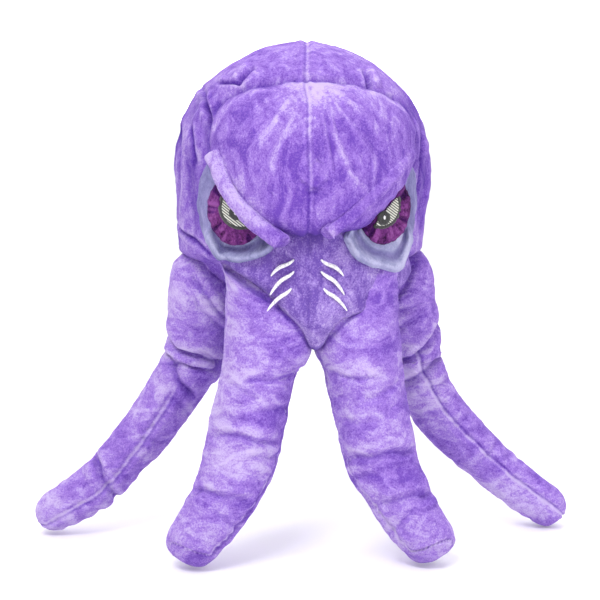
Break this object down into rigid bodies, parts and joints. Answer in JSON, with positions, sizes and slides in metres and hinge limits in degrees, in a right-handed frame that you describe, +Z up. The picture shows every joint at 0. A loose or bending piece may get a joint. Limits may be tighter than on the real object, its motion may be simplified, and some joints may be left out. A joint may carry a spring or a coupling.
{
  "type": "plush octopus",
  "caption": "Stuffed plush octopus with a round head, scowling brow tubes, embroidered eyes, and fat tapering arms that bend at their folds.",
  "frame": {"origin": "on the floor, under the middle of the bounding box", "axes": "+Z up, the octopus faces -Y, +X to the right of a viewer who looks at its face"},
  "size_m": [0.558, 0.276, 0.503],
  "materials": {
    "lilac_plush": "short-pile crushed plush, nap catching the light in pale patches",
    "grey_blue_plush": "short-pile plush",
    "magenta_plush": "short-pile plush with a strong sheen",
    "black_thread": "satin-stitched embroidery thread",
    "grey_thread": "open diagonal embroidery stitches",
    "white_thread": "satin-stitched embroidery thread",
    "fibre_filling": "hollow polyester fibre"
  },
  "bodies": {
    "head": {"back_left_panel": "lilac_plush", "back_right_panel": "lilac_plush", "base_panel": "lilac_plush", "crown_left_panel": "lilac_plush", "crown_right_panel": "lilac_plush", "forehead_left_panel": "lilac_plush", "forehead_right_panel": "lilac_plush", "head_stuffing": "fibre_filling", "left_brow": "lilac_plush", "left_eye_glint": "white_thread", "left_eye_outline": "black_thread", "left_eye_pad": "magenta_plush", "left_eye_socket": "grey_blue_plush", "left_eye_white": "grey_thread", "left_gill_stitches": "white_thread", "left_lower_lid": "grey_blue_plush", "left_pupil": "black_thread", "muzzle_left_panel": "lilac_plush", "muzzle_right_panel": "lilac_plush", "right_brow": "lilac_plush", "right_eye_glint": "white_thread", "right_eye_outline": "black_thread", "right_eye_pad": "magenta_plush", "right_eye_socket": "grey_blue_plush", "right_eye_white": "grey_thread", "right_gill_stitches": "white_thread", "right_lower_lid": "grey_blue_plush", "right_pupil": "black_thread", "side_left_panel": "lilac_plush", "side_right_panel": "lilac_plush"},
    "front_left_upper": {"front_left_upper_stuffing": "fibre_filling", "front_left_upper_top_skin": "lilac_plush", "front_left_upper_under_skin": "lilac_plush"},
    "front_left_tip": {"front_left_tip_stuffing": "fibre_filling", "front_left_tip_top_skin": "lilac_plush", "front_left_tip_under_skin": "lilac_plush"},
    "front_right_upper": {"front_right_upper_stuffing": "fibre_filling", "front_right_upper_top_skin": "lilac_plush", "front_right_upper_under_skin": "lilac_plush"},
    "front_right_tip": {"front_right_tip_stuffing": "fibre_filling", "front_right_tip_top_skin": "lilac_plush", "front_right_tip_under_skin": "lilac_plush"},
    "outer_left_upper": {"outer_left_upper_stuffing": "fibre_filling", "outer_left_upper_top_skin": "lilac_plush", "outer_left_upper_under_skin": "lilac_plush"},
    "outer_left_lower": {"outer_left_lower_stuffing": "fibre_filling", "outer_left_lower_top_skin": "lilac_plush", "outer_left_lower_under_skin": "lilac_plush"},
    "outer_left_tip": {"outer_left_tip_stuffing": "fibre_filling", "outer_left_tip_top_skin": "lilac_plush", "outer_left_tip_under_skin": "lilac_plush"},
    "outer_right_upper": {"outer_right_upper_stuffing": "fibre_filling", "outer_right_upper_top_skin": "lilac_plush", "outer_right_upper_under_skin": "lilac_plush"},
    "outer_right_lower": {"outer_right_lower_stuffing": "fibre_filling", "outer_right_lower_top_skin": "lilac_plush", "outer_right_lower_under_skin": "lilac_plush"},
    "outer_right_tip": {"outer_right_tip_stuffing": "fibre_filling", "outer_right_tip_top_skin": "lilac_plush", "outer_right_tip_under_skin": "lilac_plush"}
  },
  "joints": [
    {"name": "front_left_root", "type": "hinge", "parent": "head", "child": "front_left_upper", "pos_m": [-0.037, -0.048, 0.246], "axis": [-1, 0, 0], "range_deg": [-15, 30]},
    {"name": "front_left_fold", "type": "hinge", "parent": "front_left_upper", "child": "front_left_tip", "pos_m": [-0.061, -0.07, 0.131], "axis": [-0.2873, 0.9578, 0], "range_deg": [-15, 40]},
    {"name": "front_right_root", "type": "hinge", "parent": "head", "child": "front_right_upper", "pos_m": [0.046, -0.048, 0.246], "axis": [-1, 0, 0], "range_deg": [-15, 30]},
    {"name": "front_right_fold", "type": "hinge", "parent": "front_right_upper", "child": "front_right_tip", "pos_m": [0.07, -0.075, 0.108], "axis": [-0.2873, -0.9578, 0], "range_deg": [-15, 40]},
    {"name": "outer_left_root", "type": "hinge", "parent": "head", "child": "outer_left_upper", "pos_m": [-0.104, 0.024, 0.258], "axis": [0, 1, 0], "range_deg": [-8, 40]},
    {"name": "outer_left_elbow", "type": "hinge", "parent": "outer_left_upper", "child": "outer_left_lower", "pos_m": [-0.108, 0.028, 0.196], "axis": [0, 1, 0], "range_deg": [-15, 40]},
    {"name": "outer_left_fold", "type": "hinge", "parent": "outer_left_lower", "child": "outer_left_tip", "pos_m": [-0.2, 0.038, 0.063], "axis": [0, 1, 0], "range_deg": [-15, 40]},
    {"name": "outer_right_root", "type": "hinge", "parent": "head", "child": "outer_right_upper", "pos_m": [0.104, 0.024, 0.258], "axis": [0, -1, 0], "range_deg": [-8, 40]},
    {"name": "outer_right_elbow", "type": "hinge", "parent": "outer_right_upper", "child": "outer_right_lower", "pos_m": [0.11, 0.028, 0.194], "axis": [0, -1, 0], "range_deg": [-15, 40]},
    {"name": "outer_right_fold", "type": "hinge", "parent": "outer_right_lower", "child": "outer_right_tip", "pos_m": [0.196, 0.037, 0.069], "axis": [0, -1, 0], "range_deg": [-15, 40]}
  ]
}
